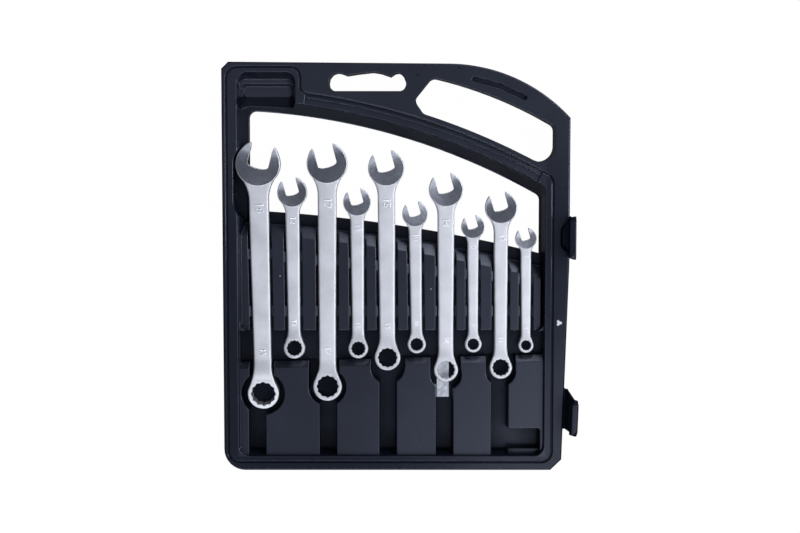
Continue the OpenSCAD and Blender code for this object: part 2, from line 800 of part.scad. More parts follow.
module wrench_19() { laid_wrench(W_19); }
module wrench_12() { laid_wrench(W_12); }
module wrench_17() { laid_wrench(W_17); }
module wrench_11() { laid_wrench(W_11); }
module wrench_15() { laid_wrench(W_15); }
module wrench_10() { laid_wrench(W_10); }
module wrench_14() { laid_wrench(W_14); }
module wrench_9() { laid_wrench(W_9); }
module wrench_13() { laid_wrench(W_13); }
module wrench_8() { laid_wrench(W_8); }

// Latch flap: rolled hinge edge, thin leaf and thick grip; it lies along +X from its hinge. The grip
// is set sideways by skew and shorter at its lower end by cut.
module flap(skew, cut) {
    play = 0.5;
    l = flap_l - 2*play;
    x0 = flap_reach - grip_w;
    low = cut - skew - l/2;
    rotate([90, 0, 0]) cylinder(h = l, r = hinge_r, center = true, $fn = 32);
    hull() {
        translate([0, -l/2, -leaf_t/2]) cube([eps, l, leaf_t]);
        translate([x0 + 1, low, -leaf_t/2]) cube([eps, l - cut, leaf_t]);
    }
    translate([0, low, 0]) hull() {
        translate([x0, -1, -leaf_t/2]) cube([grip_w - 2, l - cut + 2, leaf_t]);
        translate([x0, 3, -leaf_t/2]) cube([grip_w, l - cut - 6, leaf_t]);
        translate([x0 + 1, 0, -leaf_t/2]) cube([grip_w - 2.5, l - cut - 3, grip_t - leaf_t/2]);
    }
}

module latch(y, angle, skew, cut) {
    color([0.16, 0.17, 0.19]) at_hinge(y) rotate([0, -angle, 0]) flap(skew, cut);
}

module latch_upper() { latch(upper_y, upper_angle, 0, 0); }
module latch_lower() { latch(lower_y, lower_angle, lower_skew, lower_cut); }

// Bare foil sticker on the floor below the middle rings
module foil_sticker() {
    color([0.8, 0.81, 0.83]) translate([ring_at(W_14)[0] - sticker_in - sticker_w/2,
        ring_at(W_14)[1] - sticker_down, pit_z])
        cube([sticker_w, sticker_l, sticker_t]);
}

tray();
wrench_19();
wrench_12();
wrench_17();
wrench_11();
wrench_15();
wrench_10();
wrench_14();
wrench_9();
wrench_13();
wrench_8();
latch_upper();
latch_lower();
foil_sticker();
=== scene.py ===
import math
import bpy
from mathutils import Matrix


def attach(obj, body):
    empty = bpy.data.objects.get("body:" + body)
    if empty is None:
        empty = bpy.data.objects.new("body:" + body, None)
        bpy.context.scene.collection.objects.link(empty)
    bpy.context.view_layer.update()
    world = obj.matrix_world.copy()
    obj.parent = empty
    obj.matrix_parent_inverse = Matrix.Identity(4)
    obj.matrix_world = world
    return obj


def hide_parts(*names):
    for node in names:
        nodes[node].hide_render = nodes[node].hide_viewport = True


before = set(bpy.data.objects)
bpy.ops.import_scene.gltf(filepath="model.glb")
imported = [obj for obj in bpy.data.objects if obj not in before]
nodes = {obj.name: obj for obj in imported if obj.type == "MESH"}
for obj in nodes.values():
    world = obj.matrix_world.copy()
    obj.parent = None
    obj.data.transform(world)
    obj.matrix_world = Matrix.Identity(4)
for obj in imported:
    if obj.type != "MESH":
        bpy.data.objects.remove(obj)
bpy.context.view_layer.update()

from types import SimpleNamespace

import bpy
import numpy as np

# Shapes are worked out in mm, and mesh_object makes them metres. Cameras, lamps and materials are in metres.
MM = 0.001


# ---------------------------------------------------------------- helpers

def linear(hexcode):
    """sRGB hex to linear RGBA: each channel is undone from the sRGB curve."""
    srgb = np.array([int(hexcode[i:i + 2], 16) for i in (1, 3, 5)]) / 255
    lin = np.where(srgb <= 0.04045, srgb / 12.92, ((srgb + 0.055) / 1.055) ** 2.4)
    return (*map(float, lin), 1.0)


def set_stops(elements, stops):
    """Gives a colour ramp its stops, each a place from 0 to 1 and a hex colour."""
    for element, (place, hexcode) in ((elements[0], stops[0]), (elements[-1], stops[-1])):
        element.position, element.color = place, linear(hexcode)
    for place, hexcode in stops[1:-1]:
        elements.new(place).color = linear(hexcode)


def add(tree, kind, settings=None, **sockets):
    """Adds one node. Its settings are its own properties, or stops for a colour ramp. Its sockets are inputs, named
    with _ for a space or numbered as i0 and i1, and each takes a value or another node's output."""
    node = tree.nodes.new(kind)
    for key, value in (settings or {}).items():
        if key == "stops":
            set_stops(node.color_ramp.elements, value)
        else:
            setattr(node, key, value)
    for key, value in sockets.items():
        numbered = key[0] == "i" and key[1:].isdigit()
        socket = node.inputs[int(key[1:]) if numbered else key.replace("_", " ")]
        if isinstance(value, bpy.types.NodeSocket):
            tree.links.new(value, socket)
        else:
            socket.default_value = value
    return node


def new_material(name):
    """An empty material and its node tree."""
    mat = bpy.data.materials.new(name)
    mat.use_nodes = True
    mat.node_tree.nodes.clear()
    return mat, mat.node_tree


def mesh_object(name, points, faces, smooth=True):
    """A mesh object at the origin from points in mm, an (n, 3) array, and a list of faces."""
    mesh = bpy.data.meshes.new(name)
    mesh.from_pydata((np.asarray(points, float) * MM).tolist(), [], [list(map(int, f)) for f in faces])
    mesh.update()
    mesh.polygons.foreach_set("use_smooth", np.full(len(mesh.polygons), smooth))
    obj = bpy.data.objects.new(name, mesh)
    bpy.context.scene.collection.objects.link(obj)
    return obj


def grid_faces(rows, cols, offset=0, closed_u=False, closed_v=False):
    """Quads over a rows x cols grid of points numbered row by row; it may close on itself either way."""
    i, j = np.meshgrid(np.arange(rows if closed_u else rows - 1),
                       np.arange(cols if closed_v else cols - 1), indexing="ij")
    i2, j2 = (i + 1) % rows, (j + 1) % cols
    quads = np.stack([i * cols + j, i * cols + j2, i2 * cols + j2, i2 * cols + j], -1)
    return (quads.reshape(-1, 4) + offset).tolist()


def ease(x, low, high):
    """0 below low, 1 above high, and a smooth S between."""
    t = np.clip((x - low) / (high - low), 0, 1)
    return t * t * (3 - 2 * t)


def turned_about_x(points, angle):
    """Points, one a row, turned by an angle in radians about the X axis."""
    c, s = math.cos(angle), math.sin(angle)
    return points @ np.array([[1, 0, 0], [0, c, s], [0, -s, c]])


def turned_about_z(points, angle):
    """Points, one a row, turned by an angle in radians about the Z axis."""
    c, s = math.cos(angle), math.sin(angle)
    return points @ np.array([[c, s, 0], [-s, c, 0], [0, 0, 1]])


# ---------------------------------------------------------------- camera

HALF_WIDTH_PX, FOCAL_PX = 400, 1508.63
PITCH = math.radians(-4.2)

cam = bpy.data.cameras.new("camera")
cam.sensor_fit = "HORIZONTAL"
cam.angle = 2 * math.atan(HALF_WIDTH_PX / FOCAL_PX)
cam.clip_start, cam.clip_end = 0.05, 30
camera = bpy.data.objects.new("camera", cam)
camera.location = (0.0034, 0.09733, 1.33499)
camera.rotation_euler = (PITCH, 0, 0)
bpy.context.scene.collection.objects.link(camera)
bpy.context.scene.camera = camera
bpy.context.scene.view_settings.view_transform = "Standard"


# ---------------------------------------------------------------- materials

# The pan that holds the wrenches: its middle and half its width across the tray, and its foot along the tray.
PAN_X, PAN_HALF, PAN_FOOT = -4 * MM, 133.5 * MM, -165 * MM
# the corner pocket's middle, round which the tray keeps its full sheen as a painted highlight
POCKET_MIDDLE = (-0.114, 0.151, 0.014)


def moulded_black():
    """Blow-moulded black polyethylene: a smooth dark skin with a soft sheen, flow clouds some 45 mm wide, a sand
    grain of 0.7 mm, drawn coarser than the real one so that it shows, and edges that the mould rounds by 1 mm. Its
    sheen is turned down where walls stand close round it, in the channels and recesses, as painted shade, and the
    corner pocket keeps it full as a painted highlight. The rim outside the pan is smoother than the grained flats
    inside it, and there its sheen is turned down as painted shade, most of all in its lower half and not at all by the
    handle."""
    mat, tree = new_material("polyethylene_blow_moulded_black")
    place = add(tree, "ShaderNodeTexCoord").outputs["Object"]
    clouds = add(tree, "ShaderNodeTexNoise", Vector=place, Scale=22.0, Detail=3.0).outputs["Fac"]
    grain = add(tree, "ShaderNodeTexNoise", Vector=place, Scale=1400.0, Detail=2.0).outputs["Fac"]
    colour = add(tree, "ShaderNodeValToRGB", {"stops": [(0.35, "#0e121b"), (0.7, "#121722")]},
                 Fac=clouds).outputs["Color"]

    # how far a point lies outside the pan, and from that its share of the flats' roughness and sheen
    axes = add(tree, "ShaderNodeSeparateXYZ", Vector=place).outputs
    from_middle = add(tree, "ShaderNodeMath", {"operation": "SUBTRACT"}, i0=axes["X"], i1=PAN_X).outputs[0]
    aside = add(tree, "ShaderNodeMath", {"operation": "ABSOLUTE"}, i0=from_middle).outputs[0]
    beyond = add(tree, "ShaderNodeMath", {"operation": "SUBTRACT"}, i0=aside, i1=PAN_HALF).outputs[0]
    below = add(tree, "ShaderNodeMath", {"operation": "SUBTRACT"}, i0=PAN_FOOT, i1=axes["Y"]).outputs[0]
    outside = add(tree, "ShaderNodeMath", {"operation": "MAXIMUM"}, i0=beyond, i1=below).outputs[0]
    # the rim's share is 0.55 of the flats' below 30 mm up the tray and all of it above 120 mm: its lower roughness is
    # a smoother finish, its lower sheen is painted shade
    rim_share_with_painted_shade = add(tree, "ShaderNodeMapRange", Value=axes["Y"], From_Min=30 * MM, From_Max=120 * MM,
                To_Min=0.55, To_Max=1.0).outputs["Result"]
    rim = add(tree, "ShaderNodeMapRange", Value=outside, From_Min=0.0, From_Max=2 * MM,
              To_Min=1.0, To_Max=rim_share_with_painted_shade).outputs["Result"]

    grained = add(tree, "ShaderNodeMapRange", Value=clouds, From_Min=0.3, From_Max=0.7,
                  To_Min=0.22, To_Max=0.28).outputs["Result"]
    rough = add(tree, "ShaderNodeMath", {"operation": "MULTIPLY"}, i0=grained, i1=rim).outputs[0]
    edges = add(tree, "ShaderNodeBevel", {"samples": 16}, Radius=1.0 * MM).outputs["Normal"]
    bump = add(tree, "ShaderNodeBump", Height=grain, Strength=0.05, Distance=0.2 * MM,
               Normal=edges).outputs["Normal"]

    # the sheen, turned down as painted shade where walls stand round a point, and kept full in the corner pocket as a
    # painted highlight
    opened = add(tree, "ShaderNodeAmbientOcclusion", {"samples": 8}, Distance=22 * MM).outputs["AO"]
    sheen_after_painted_shade = add(tree, "ShaderNodeMapRange", Value=opened, From_Min=0.35, From_Max=0.95,
                To_Min=0.12, To_Max=0.8).outputs["Result"]
    away = add(tree, "ShaderNodeVectorMath", {"operation": "DISTANCE"}, i0=place, i1=POCKET_MIDDLE).outputs["Value"]
    pocket = add(tree, "ShaderNodeMapRange", Value=away, From_Min=21 * MM, From_Max=27 * MM,
                 To_Min=1.0, To_Max=0.0).outputs["Result"]
    sheen_after_shade_and_highlight = add(tree, "ShaderNodeMath", {"operation": "MAXIMUM"}, i0=sheen_after_painted_shade, i1=pocket).outputs[0]
    sheen = add(tree, "ShaderNodeMath", {"operation": "MULTIPLY"}, i0=sheen_after_shade_and_highlight, i1=rim).outputs[0]

    shader = add(tree, "ShaderNodeBsdfPrincipled", Base_Color=colour, Roughness=rough, Normal=bump, IOR=1.5,
                 Specular_IOR_Level=sheen, Specular_Tint=linear("#e8edff"))
    add(tree, "ShaderNodeOutputMaterial", Surface=shader.outputs["BSDF"])
    return mat


def satin_chrome():
    """Chrome plate over bead-blasted forged steel: bright and even, with a matte grain of 0.6 mm, drawn coarser than
    the real one so that it shows, and faint forging clouds some 17 mm wide."""
    mat, tree = new_material("steel_forged_satin_chrome")
    place = add(tree, "ShaderNodeTexCoord").outputs["Object"]
    clouds = add(tree, "ShaderNodeTexNoise", Vector=place, Scale=60.0, Detail=4.0).outputs["Fac"]
    blast = add(tree, "ShaderNodeTexNoise", Vector=place, Scale=1800.0, Detail=2.0).outputs["Fac"]
    colour = add(tree, "ShaderNodeValToRGB", {"stops": [(0.3, "#e6e6e6"), (0.7, "#f4f4f4")]},
                 Fac=clouds).outputs["Color"]
    rough = add(tree, "ShaderNodeMapRange", Value=clouds, From_Min=0.3, From_Max=0.7,
                To_Min=0.5, To_Max=0.58).outputs["Result"]
    bump = add(tree, "ShaderNodeBump", Height=blast, Strength=0.25, Distance=0.2 * MM).outputs["Normal"]
    shader = add(tree, "ShaderNodeBsdfPrincipled", Base_Color=colour, Metallic=1.0, Roughness=rough, Normal=bump)
    add(tree, "ShaderNodeOutputMaterial", Surface=shader.outputs["BSDF"])
    return mat


def ground_face():
    """Steel ground flat and polished: dark, mottled over 4 mm where the polish is uneven and over 60 mm from jaw to
    jaw, and lighter and duller along the prongs. The attribute prong says how far along its prong a point is."""
    mat, tree = new_material("steel_ground_polished")
    place = add(tree, "ShaderNodeTexCoord").outputs["Object"]
    mottle = add(tree, "ShaderNodeTexNoise", Vector=place, Scale=240.0, Detail=5.0, Roughness=0.65).outputs["Fac"]
    wide = add(tree, "ShaderNodeTexNoise", Vector=place, Scale=16.0, Detail=1.0).outputs["Fac"]
    prong = add(tree, "ShaderNodeAttribute", {"attribute_name": "prong"}).outputs["Fac"]
    clouds = add(tree, "ShaderNodeMath", {"operation": "MULTIPLY_ADD"}, i0=mottle, i1=0.3, i2=wide).outputs[0]
    lifted = add(tree, "ShaderNodeMath", {"operation": "MULTIPLY_ADD"}, i0=prong, i1=0.35, i2=clouds).outputs[0]
    greys = [(0.5, "#6d6f74"), (0.68, "#85878d"), (0.82, "#a3a5ab"), (1.0, "#e6e8ee")]
    colour = add(tree, "ShaderNodeValToRGB", {"stops": greys}, Fac=lifted).outputs["Color"]
    rough = add(tree, "ShaderNodeMapRange", Value=prong, From_Min=0.0, From_Max=1.0,
                To_Min=0.24, To_Max=0.42).outputs["Result"]
    bump = add(tree, "ShaderNodeBump", Height=mottle, Strength=0.2, Distance=0.2 * MM).outputs["Normal"]
    shader = add(tree, "ShaderNodeBsdfPrincipled", Base_Color=colour, Metallic=1.0, Roughness=rough, Normal=bump)
    add(tree, "ShaderNodeOutputMaterial", Surface=shader.outputs["BSDF"])
    return mat


def foil():
    """Metallised polyester foil: bright and thin, crinkled every 3 mm so that it breaks its reflections into soft
    facets, with brighter and duller patches of 6 mm in its colour that are painted glints."""
    mat, tree = new_material("polyester_foil_metallised")
    place = add(tree, "ShaderNodeTexCoord").outputs["Object"]
    creases = add(tree, "ShaderNodeTexVoronoi", Vector=place, Scale=300.0).outputs["Distance"]
    glints = add(tree, "ShaderNodeTexNoise", Vector=place, Scale=160.0, Detail=3.0).outputs["Fac"]
    silvers = [(0.35, "#c8cad0"), (0.5, "#dfe1e5"), (0.65, "#f1f2f4")]
    colour = add(tree, "ShaderNodeValToRGB", {"stops": silvers}, Fac=glints).outputs["Color"]
    bump = add(tree, "ShaderNodeBump", Height=creases, Strength=0.25, Distance=0.6 * MM).outputs["Normal"]
    shader = add(tree, "ShaderNodeBsdfPrincipled", Base_Color=colour, Metallic=0.85, Roughness=0.32, Normal=bump)
    add(tree, "ShaderNodeOutputMaterial", Surface=shader.outputs["BSDF"])
    return mat


def burnished():
    """Chrome on the raised digits, rubbed brighter and smoother than the blasted steel round them."""
    mat, tree = new_material("steel_digits_burnished_chrome")
    shader = add(tree, "ShaderNodeBsdfPrincipled", Base_Color=linear("#ffffff"), Metallic=1.0, Roughness=0.36)
    add(tree, "ShaderNodeOutputMaterial", Surface=shader.outputs["BSDF"])
    return mat


def bare_resin():
    """White for small flecks on the tray."""
    mat, tree = new_material("white_fleck_finish")
    shader = add(tree, "ShaderNodeBsdfPrincipled", Base_Color=linear("#e4e5e7"), Roughness=0.5)
    add(tree, "ShaderNodeOutputMaterial", Surface=shader.outputs["BSDF"])
    return mat


tray_skin, chrome_skin, polished_skin = moulded_black(), satin_chrome(), ground_face()
foil_skin, digit_skin, fleck_skin = foil(), burnished(), bare_resin()


# ---------------------------------------------------------------- tray, latches and sticker

def paint(obj, skin):
    """Gives a CAD node one material in place of its own."""
    obj.data.materials.clear()
    obj.data.materials.append(skin)


for name in ("tray", "latch_upper", "latch_lower"):
    paint(nodes[name], tray_skin)
paint(nodes["foil_sticker"], foil_skin)


# ---------------------------------------------------------------- wrenches

# size, ring middle across, ring middle along and distance from ring to jaw in hundredths of the tray's width
# and length, lean in degrees, shank width at the jaw, turned over
WRENCHES = [
    (19, -38.70, -31.09, 56.37, -1.0, 17.2, True),
    (12, -29.56, -19.98, 38.33, -0.6, 12.2, False),
    (17, -19.95, -29.52, 54.91, 0.0, 16.3, False),
    (11, -11.00, -20.09, 36.03, -0.4, 11.8, False),
    (15, -2.49, -22.36, 46.63, -0.4, 15.2, False),
    (10, 5.99, -19.05, 32.10, -0.8, 11.0, False),
    (14, 14.48, -25.36, 44.33, -0.1, 14.6, False),
    (9, 22.40, -19.02, 28.93, -0.3, 9.6, False),
    (13, 30.41, -24.80, 39.39, -0.1, 12.4, False),
    (8, 37.74, -19.28, 26.32, -0.3, 9.2, False),
]
TRAY_W, TRAY_L = 301.8, 356.4
WRENCH_TOP = 20.2                           # height of every shank's upper face above the tray's back
JAW_SLANT, RING_TILT = math.radians(15), math.radians(7.5)
RING_SINK, JAW_SINK = 0.03, 0.55            # how far the shank's ends lie below the faces of the ring and the jaw
CROWN = 0.12                                # how far the shank's faces rise towards their middle
DIGIT_RISE, DIGIT_ROUND = 0.1, 0.25         # half the digits' straight wall, and the rounding of their edges
DIGIT_LIFT = 0.15                           # from the shank's upper face up to the middle of that wall
DIGIT_SHARE = 0.7                           # of the type size that a digit is high


def plan(size, across, along, reach, lean, width, turned_over):
    """A wrench's lengths in mm: those of its row, and those that follow from its size in the same way in the whole
    set. The halves are half heights, and the shank is a tenth narrower at the ring than at the jaw."""
    return SimpleNamespace(
        s=size, x=across * TRAY_W / 100, y=along * TRAY_L / 100, reach=reach * TRAY_L / 100,
        lean=math.radians(lean), turned_over=turned_over, flats=size + 0.1,
        thick=0.3 * size + 2, w=width, ring_w=0.9 * width,
        ring_r=0.66 * size + 1.4, ring_half=0.225 * size + 1.5, ring_rise=0.078 * size, ring_fillet=2.45 * size,
        jaw_r=0.925 * size + 1.9, jaw_half=(0.33 * size + 2.3) / 2, jaw_fillet=1.65 * size)


def neck_edge(y, shank, r, half, fillet):
    """Half width at the distance y from an end's middle: the end's circle of radius r, then a hollow fillet down to
    half, then shank. The distances where the fillet starts and ends are given back with it."""
    ends = math.sqrt((r + fillet) ** 2 - (half + fillet) ** 2)
    starts = ends * r / (r + fillet)
    circle = np.sqrt(np.clip(r * r - y * y, 0, None))
    hollow = half + fillet - np.sqrt(np.clip(fillet ** 2 - (ends - y) ** 2, 0, None))
    return np.where(y < starts, circle, np.where(y < ends, hollow, shank)), starts, ends


def shank_surface(p):
    """A rounded bar carried along the wrench: its half width follows the neck fillets at both ends and its half
    thickness and height swell smoothly into the ring and the jaw. Each section is a rectangle with rounded corners
    and slightly crowned faces."""
    near_end, far_end = 2.4 * p.s, p.reach - 2.4 * p.s
    y = np.concatenate([np.linspace(0.577 * p.s + 0.7, near_end, 44),       # from just outside the ring's star
                        np.linspace(near_end, far_end, 30)[1:-1],
                        np.linspace(far_end, p.reach - 0.3 * p.s, 44)])     # into the back of the jaw
    straight = (p.ring_w + (p.w - p.ring_w) * ease(y, 1.6 * p.s, p.reach - 1.6 * p.s)) / 2
    near = neck_edge(y, straight, p.ring_r - 0.2, p.ring_w / 2, p.ring_fillet)[0]
    far, starts, ends = neck_edge(p.reach - y, straight, p.jaw_r - 0.12, p.w / 2, p.jaw_fillet)
    half = np.where(y < p.reach / 2, near, far)
    ring_in = 1 - ease(y, p.ring_r * 1.05, p.ring_r * 2.2)
    jaw_in = 1 - ease(p.reach - y, starts * 0.85, ends * 1.15)
    deep = (p.thick / 2 + (p.ring_half - p.thick / 2 - RING_SINK) * ring_in
            + (p.jaw_half - p.thick / 2 - JAW_SINK) * jaw_in)
    mid = (p.ring_rise - y * math.tan(RING_TILT)) * ring_in
    corner = np.minimum(deep * 0.55, 1.5)

    # the section: four rounded corners, and a flat above and one below, of n points each
    n = 7
    one, none = np.ones(n), np.zeros(n)
    turn = np.linspace(0, math.pi / 2, n)
    back = turn[::-1]
    flat = np.linspace(-1, 1, n + 2)[1:-1]
    side_x = np.concatenate([one, -flat, -one, -one, flat, one])
    side_z = np.repeat([1.0, -1.0], 3 * n)
    round_x = np.concatenate([np.cos(turn), none, -np.cos(back), -np.cos(turn), none, np.cos(back)])
    round_z = np.concatenate([np.sin(turn), one, np.sin(back), -np.sin(turn), -one, -np.sin(back)])
    x = side_x * (half - corner)[:, None] + round_x * corner[:, None]
    crown = CROWN * (1 - (x / half[:, None]) ** 2)
    z = (mid[:, None] + side_z * (deep - corner)[:, None] + round_z * corner[:, None]
         + side_z * np.abs(round_z) * crown)
    points = np.stack([x, np.broadcast_to(y[:, None], x.shape), z], -1).reshape(-1, 3)

    around = x.shape[1]
    faces = [f[::-1] for f in grid_faces(len(y), around, closed_v=True)]
    faces += [list(range(around)), list(range(len(points) - around, len(points)))[::-1]]
    return points, faces, np.zeros(len(faces), int), np.zeros(len(points))


def jaw_edges(p):
    """The two edges of the open jaw's right half, from the middle of its back to the prong's tip, with the jaw's own
    axis along +Y: an outer arc, carried on along the prong by a slightly smaller one that lies further forward, and a
    shallow V with a straight wall that opens a little at the tip."""
    forward = 0.14 * p.s
    prong_r = 0.93 * p.jaw_r
    meet = math.asin((p.jaw_r - prong_r) / forward)
    tip = math.acos(0.57 * p.s / prong_r)
    a = np.linspace(-math.pi / 2, tip, 61)
    r, shift = np.where(a < meet, p.jaw_r, prong_r), np.where(a < meet, 0, forward)
    outer = np.stack([r * np.cos(a), r * np.sin(a) + shift], -1)
    q = np.linspace(0, 1, 16) * math.pi / 2
    vee = np.stack([p.flats / 2 * np.sin(q), -0.2 * p.s * np.cos(q) ** 0.8], -1)
    v = np.linspace(0, 1, 46)[1:]
    wall = np.stack([p.flats / 2 + 0.04 * p.s * ease(v, 0.75, 1.0), outer[-1, 1] * v], -1)
    return outer, np.concatenate([vee, wall])


def jaw_surface(p):
    """The jaw plate: a closed cross-section, flat on both faces with a wide rounding outside and a small one inside,
    is carried from one prong's tip round the throat to the other. Its flat faces are the ground and polished ones.
    The last value given back is each point's share of the way along its prong."""
    outer, inner = ([*(edge * [-1, 1])[:0:-1], *edge] for edge in jaw_edges(p))
    outer, inner = np.array(outer), np.array(inner)
    across = outer - inner
    length = np.linalg.norm(across, axis=1)
    wide = np.minimum(0.02 * p.s + 0.4 + 0.05 * p.s * ease(outer[:, 1], -0.3 * p.s, 0.5 * p.s), 0.5 * length)
    small = np.minimum(0.3, 0.2 * length)
    fall = np.minimum(0.5, wide)

    # The section's upper half, from the inner wall outwards. Inside, a point's distance from the inner edge and
    # its depth below the face count in small. Outside, its distance from the outer edge counts in wide and its
    # depth in fall.
    inside = [(0, 1), (0.3, 0.4), (1, 0), (1.4, 0)]
    outside = [(1.15, 0), (1, 0), (0.88, 0.04), (0.62, 0.18), (0.3, 0.42), (0.08, 0.7), (0, 1)]
    level = np.zeros_like(length)
    run = [level] + [d * small for d, _ in inside] + [length - d * wide for d, _ in outside]
    high = [level] + [p.jaw_half - d * small for _, d in inside] + [p.jaw_half - d * fall for _, d in outside]
    run = np.array(run + [length] + run[:0:-1])
    high = np.array(high + [level] + [-v for v in high[:0:-1]])
    xy = inner + across / length[:, None] * run[..., None]
    points = np.concatenate([xy, high[..., None]], -1).reshape(-1, 3)

    rows, n = run.shape
    faces = grid_faces(rows, n, closed_u=True)
    faces += [list(range(0, rows * n, n)), list(range(n - 1, rows * n, n))[::-1]]
    faces = [f[::-1] for f in faces]
    kind = np.zeros((rows, n - 1), int)
    kind[[3, 4, rows - 5, rows - 6]] = 1
    prong = ease(points[:, 1], 0.1 * p.s, 0.75 * p.s)
    points = turned_about_z(points, JAW_SLANT) + [0, p.reach, 0]
    return points, faces, np.concatenate([kind.ravel(), [0, 0]]), prong


def ring_surface(p):
    """The box end: a closed profile carried round the ring. Its inner wall follows the twelve-point star, which is the
    larger radius of two hexagons a twelfth of a turn apart, with a narrow chamfer at both faces. Its outer wall is a
    circle that leaves along the hollow fillets of the neck, which the shank then covers."""
    a = np.linspace(0, 2 * math.pi, 241)[:-1]
    y = np.linspace(0, p.ring_r, 60)
    x = np.append(neck_edge(y, y, p.ring_r, p.ring_w / 2, p.ring_fillet)[0], 0)
    y = np.append(y, p.ring_r)
    off = np.abs((a - math.pi / 2 + math.pi) % (2 * math.pi) - math.pi)
    neck = np.interp(off, np.arctan2(x, y)[-2::-1], np.hypot(x, y)[-2::-1])
    cap = p.ring_r / np.cos(np.minimum(off, 1.2))
    r = np.where(off < math.pi / 2, np.maximum(np.minimum(neck, cap), p.ring_r), p.ring_r)
    sixth = math.pi / 3
    star = np.maximum(*(p.flats / 2 / np.cos((a + turn) % sixth - sixth / 2) for turn in (0, sixth / 2)))

    # the profile's upper half, from the middle of the inner wall over the face and down the outer wall
    h = p.ring_half
    profile = [(star, 0.0), (star, h - 0.6), (star + 0.04, h - 0.22), (star + 0.14, h - 0.06), (star + 0.3, h),
               (star + 0.6, h), (r - 1.1, h), (r - 0.75, h - 0.06), (r - 0.38, h - 0.3), (r - 0.1, h - 0.8),
               (r, h - 1.5)]
    radius = np.array([rad for rad, _ in profile] + [rad for rad, _ in profile[:0:-1]])
    height = np.array([up for _, up in profile] + [-up for _, up in profile[:0:-1]])
    points = np.stack([radius * np.cos(a), radius * np.sin(a), np.broadcast_to(height[:, None], radius.shape)], -1)
    faces = [f[::-1] for f in grid_faces(len(height), len(a), closed_u=True, closed_v=True)]
    points = turned_about_x(points.reshape(-1, 3), -RING_TILT) + [0, 0, p.ring_rise]
    return points, faces, np.zeros(len(faces), int), np.zeros(len(points))


def laid(points, p):
    """From the wrench's own frame, ring at the origin and jaw along +Y, to its place in the tray."""
    return turned_about_z(points, -p.lean) + [p.x, p.y, WRENCH_TOP - p.thick / 2]


def wrench_piece(p):
    """One combination wrench in one mesh: the shank, the jaw and the ring, each a closed surface that runs into the
    next one."""
    points, faces, kinds, prongs, start = [], [], [], [], 0
    for part_points, part_faces, kind, prong in (shank_surface(p), jaw_surface(p), ring_surface(p)):
        points.append(part_points)
        faces += [[i + start for i in f] for f in part_faces]
        kinds.append(kind)
        prongs.append(prong)
        start += len(part_points)
    points = np.concatenate(points)
    if p.turned_over:
        points = points * [-1, 1, -1]
    obj = mesh_object(f"combination_wrench_{p.s}", laid(points, p), faces)
    obj.data.materials.append(chrome_skin)
    obj.data.materials.append(polished_skin)
    obj.data.polygons.foreach_set("material_index", np.concatenate(kinds).astype(np.int32))
    obj.data.attributes.new("prong", "FLOAT", "POINT").data.foreach_set("value", np.concatenate(prongs))
    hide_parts(f"wrench_{p.s}")
    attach(obj, "tray")


def number_piece(p):
    """The size in raised digits on the upper face: large by the jaw and small by the ring, reading down the shank."""
    points, faces, start = [], [], 0
    for along, high in ((p.reach - 2.0 * p.s, 0.4 * p.w), (1.9 * p.s, 0.3 * p.w)):
        curve = bpy.data.curves.new("digits", "FONT")
        curve.body, curve.size, curve.extrude = str(p.s), high / DIGIT_SHARE, DIGIT_RISE
        curve.bevel_depth, curve.bevel_resolution, curve.resolution_u = DIGIT_ROUND, 1, 3
        curve.align_x, curve.align_y = "CENTER", "CENTER"
        holder = bpy.data.objects.new("digits", curve)
        bpy.context.scene.collection.objects.link(holder)
        bpy.context.view_layer.update()
        mesh = bpy.data.meshes.new_from_object(holder.evaluated_get(bpy.context.evaluated_depsgraph_get()))
        flat = np.zeros(len(mesh.vertices) * 3)
        mesh.vertices.foreach_get("co", flat)
        flat = turned_about_z(flat.reshape(-1, 3), -math.pi / 2)
        points.append(flat + [0, along, p.thick / 2 + DIGIT_LIFT])
        faces += [[i + start for i in f.vertices] for f in mesh.polygons]
        start += len(mesh.vertices)
        bpy.data.objects.remove(holder)
        bpy.data.meshes.remove(mesh)
    obj = mesh_object(f"raised_size_{p.s}", laid(np.concatenate(points), p), faces, smooth=False)
    obj.data.materials.append(digit_skin)
    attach(obj, "tray")


for row in WRENCHES:
    wrench = plan(*row)
    wrench_piece(wrench)
    number_piece(wrench)


# ---------------------------------------------------------------- small marks on the tray

def low_domes(name, skin, spots):
    """Low domes in one mesh. Each spot is x, y, the height of the flat it stands on, its radius, its height and how
    much its outline swells three times round: the radius at angle a is r (1 + swell cos 3a), and the height falls off
    as the cosine of the way out to the rim, which is sunk 0.1 mm into the flat."""
    a = np.linspace(0, 2 * math.pi, 25)[:-1]
    out = np.linspace(1, 0, 6)[:-1]
    way = np.append(1.0, out)
    n = len(a)
    points, faces, start = [], [], 0
    for x, y, z, r, high, swell in spots:
        rim = r * (1 + swell * np.cos(3 * a))
        level = np.append(-0.1, high * np.cos(out * math.pi / 2))
        rings = np.stack([x + way[:, None] * rim * np.cos(a), y + way[:, None] * rim * np.sin(a),
                          np.broadcast_to((z + level)[:, None], (len(way), n))], -1).reshape(-1, 3)
        top = start + len(rings)
        last = top - n
        points.append(np.concatenate([rings, [[x, y, z + high]]]))
        faces += grid_faces(len(way), n, start, closed_v=True)
        faces += [[last + i, last + (i + 1) % n, top] for i in range(n)]
        faces.append([start + i for i in range(n)][::-1])
        start = top + 1
    obj = mesh_object(name, np.concatenate(points), faces)
    obj.data.materials.append(skin)
    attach(obj, "tray")


RIM_Z, BED_Z = 26, 19
low_domes("moulding_pips", tray_skin, [(18.9, 166.7, RIM_Z, 1.0, 0.3, 0),
                                       (54.8, 172.9, RIM_Z, 1.0, 0.3, 0),
                                       (147.1, 69.6, RIM_Z, 0.9, 0.3, 0)])
# small white flecks on the rim and the bed
low_domes("white_flecks", fleck_skin, [(142.1, -48.2, RIM_Z, 2.2, 0.08, 0.28),
                                       (-101.6, -7.6, BED_Z, 0.4, 0.05, 0),
                                       (30.5, -19.1, BED_Z, 0.4, 0.05, 0)])


# ---------------------------------------------------------------- floor and light

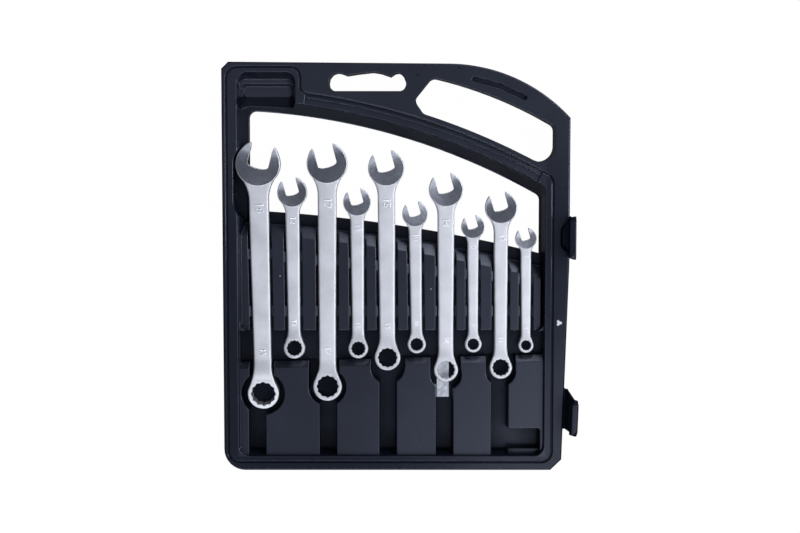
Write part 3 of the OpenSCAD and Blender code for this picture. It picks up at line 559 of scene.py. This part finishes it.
def white_floor():
    """White paper: pure white to the camera, less the soft shadow under the tray, and faint in reflections."""
    mat, tree = new_material("paper_white_sweep")
    path = add(tree, "ShaderNodeLightPath")
    mirrored = add(tree, "ShaderNodeMath", {"operation": "MAXIMUM"}, i0=path.outputs["Is Glossy Ray"],
                   i1=path.outputs["Is Transmission Ray"]).outputs[0]
    part = add(tree, "ShaderNodeMath", {"operation": "MULTIPLY"}, i0=mirrored, i1=0.04).outputs[0]
    share = add(tree, "ShaderNodeMath", {"operation": "MULTIPLY_ADD"}, i0=path.outputs["Is Camera Ray"], i1=0.85,
                i2=part).outputs[0]
    paper = add(tree, "ShaderNodeBsdfDiffuse", Color=linear("#55575b"))
    glow = add(tree, "ShaderNodeEmission", Color=linear("#ffffff"), Strength=1.165)
    mix = add(tree, "ShaderNodeMixShader", Fac=share, i1=paper.outputs["BSDF"], i2=glow.outputs["Emission"])
    add(tree, "ShaderNodeOutputMaterial", Surface=mix.outputs["Shader"])
    return mat


FAR, FLOOR_Z = 6000, -0.2
corners = [(-FAR, -FAR, FLOOR_Z), (FAR, -FAR, FLOOR_Z), (FAR, FAR, FLOOR_Z), (-FAR, FAR, FLOOR_Z)]
floor = mesh_object("floor", corners, [(0, 1, 2, 3)], smooth=False)
floor.data.materials.append(white_floor())


def studio_sky():
    """A world that is white to the camera and lights the tray with a pale blue glow, brighter overhead."""
    world = bpy.data.worlds.new("studio")
    world.use_nodes = True
    tree = world.node_tree
    tree.nodes.clear()
    seen = add(tree, "ShaderNodeLightPath").outputs["Is Camera Ray"]
    way = add(tree, "ShaderNodeTexCoord").outputs["Generated"]
    up = add(tree, "ShaderNodeSeparateXYZ", Vector=way).outputs["Z"]
    glow = add(tree, "ShaderNodeMapRange", {"interpolation_type": "SMOOTHSTEP"}, Value=up,
               From_Min=0.3, From_Max=0.95, To_Min=0.05, To_Max=0.42).outputs["Result"]
    around = add(tree, "ShaderNodeBackground", Color=linear("#e8eeff"), Strength=glow)
    white = add(tree, "ShaderNodeBackground", Color=linear("#ffffff"), Strength=1.0)
    mix = add(tree, "ShaderNodeMixShader", Fac=seen, i1=around.outputs[0], i2=white.outputs[0])
    add(tree, "ShaderNodeOutputWorld", Surface=mix.outputs["Shader"])
    return world


bpy.context.scene.world = studio_sky()


def soft_lamp(name, place, size, radiance):
    """A soft box at place, in metres, that faces the origin; its watts follow from its radiance and its area."""
    lamp = bpy.data.lights.new(name, "AREA")
    lamp.shape = "RECTANGLE"
    lamp.size, lamp.size_y = size
    lamp.energy = radiance * math.pi * size[0] * size[1]
    lamp.color = linear("#f0f4ff")[:3]
    obj = bpy.data.objects.new(name, lamp)
    obj.location = place
    x, y, z = place
    obj.rotation_euler = (math.acos(z / math.hypot(x, y, z)), 0, math.atan2(-x, y) + math.pi)
    bpy.context.scene.collection.objects.link(obj)


soft_lamp("soft_box_overhead", (0.8, -0.7, 1.8), (1.2, 1.3), 1.25)
soft_lamp("window_behind", (1.0, 2.1, 0.68), (2.0, 0.7), 4.2)
soft_lamp("strip_right", (1.5, 0.0, 1.25), (0.25, 1.6), 10.0)
soft_lamp("strip_front", (-0.3, -1.7, 1.5), (1.6, 0.3), 10.0)
soft_lamp("bare_bulb_right_back", (1.2, 1.1, 1.6), (0.12, 0.12), 90.0)
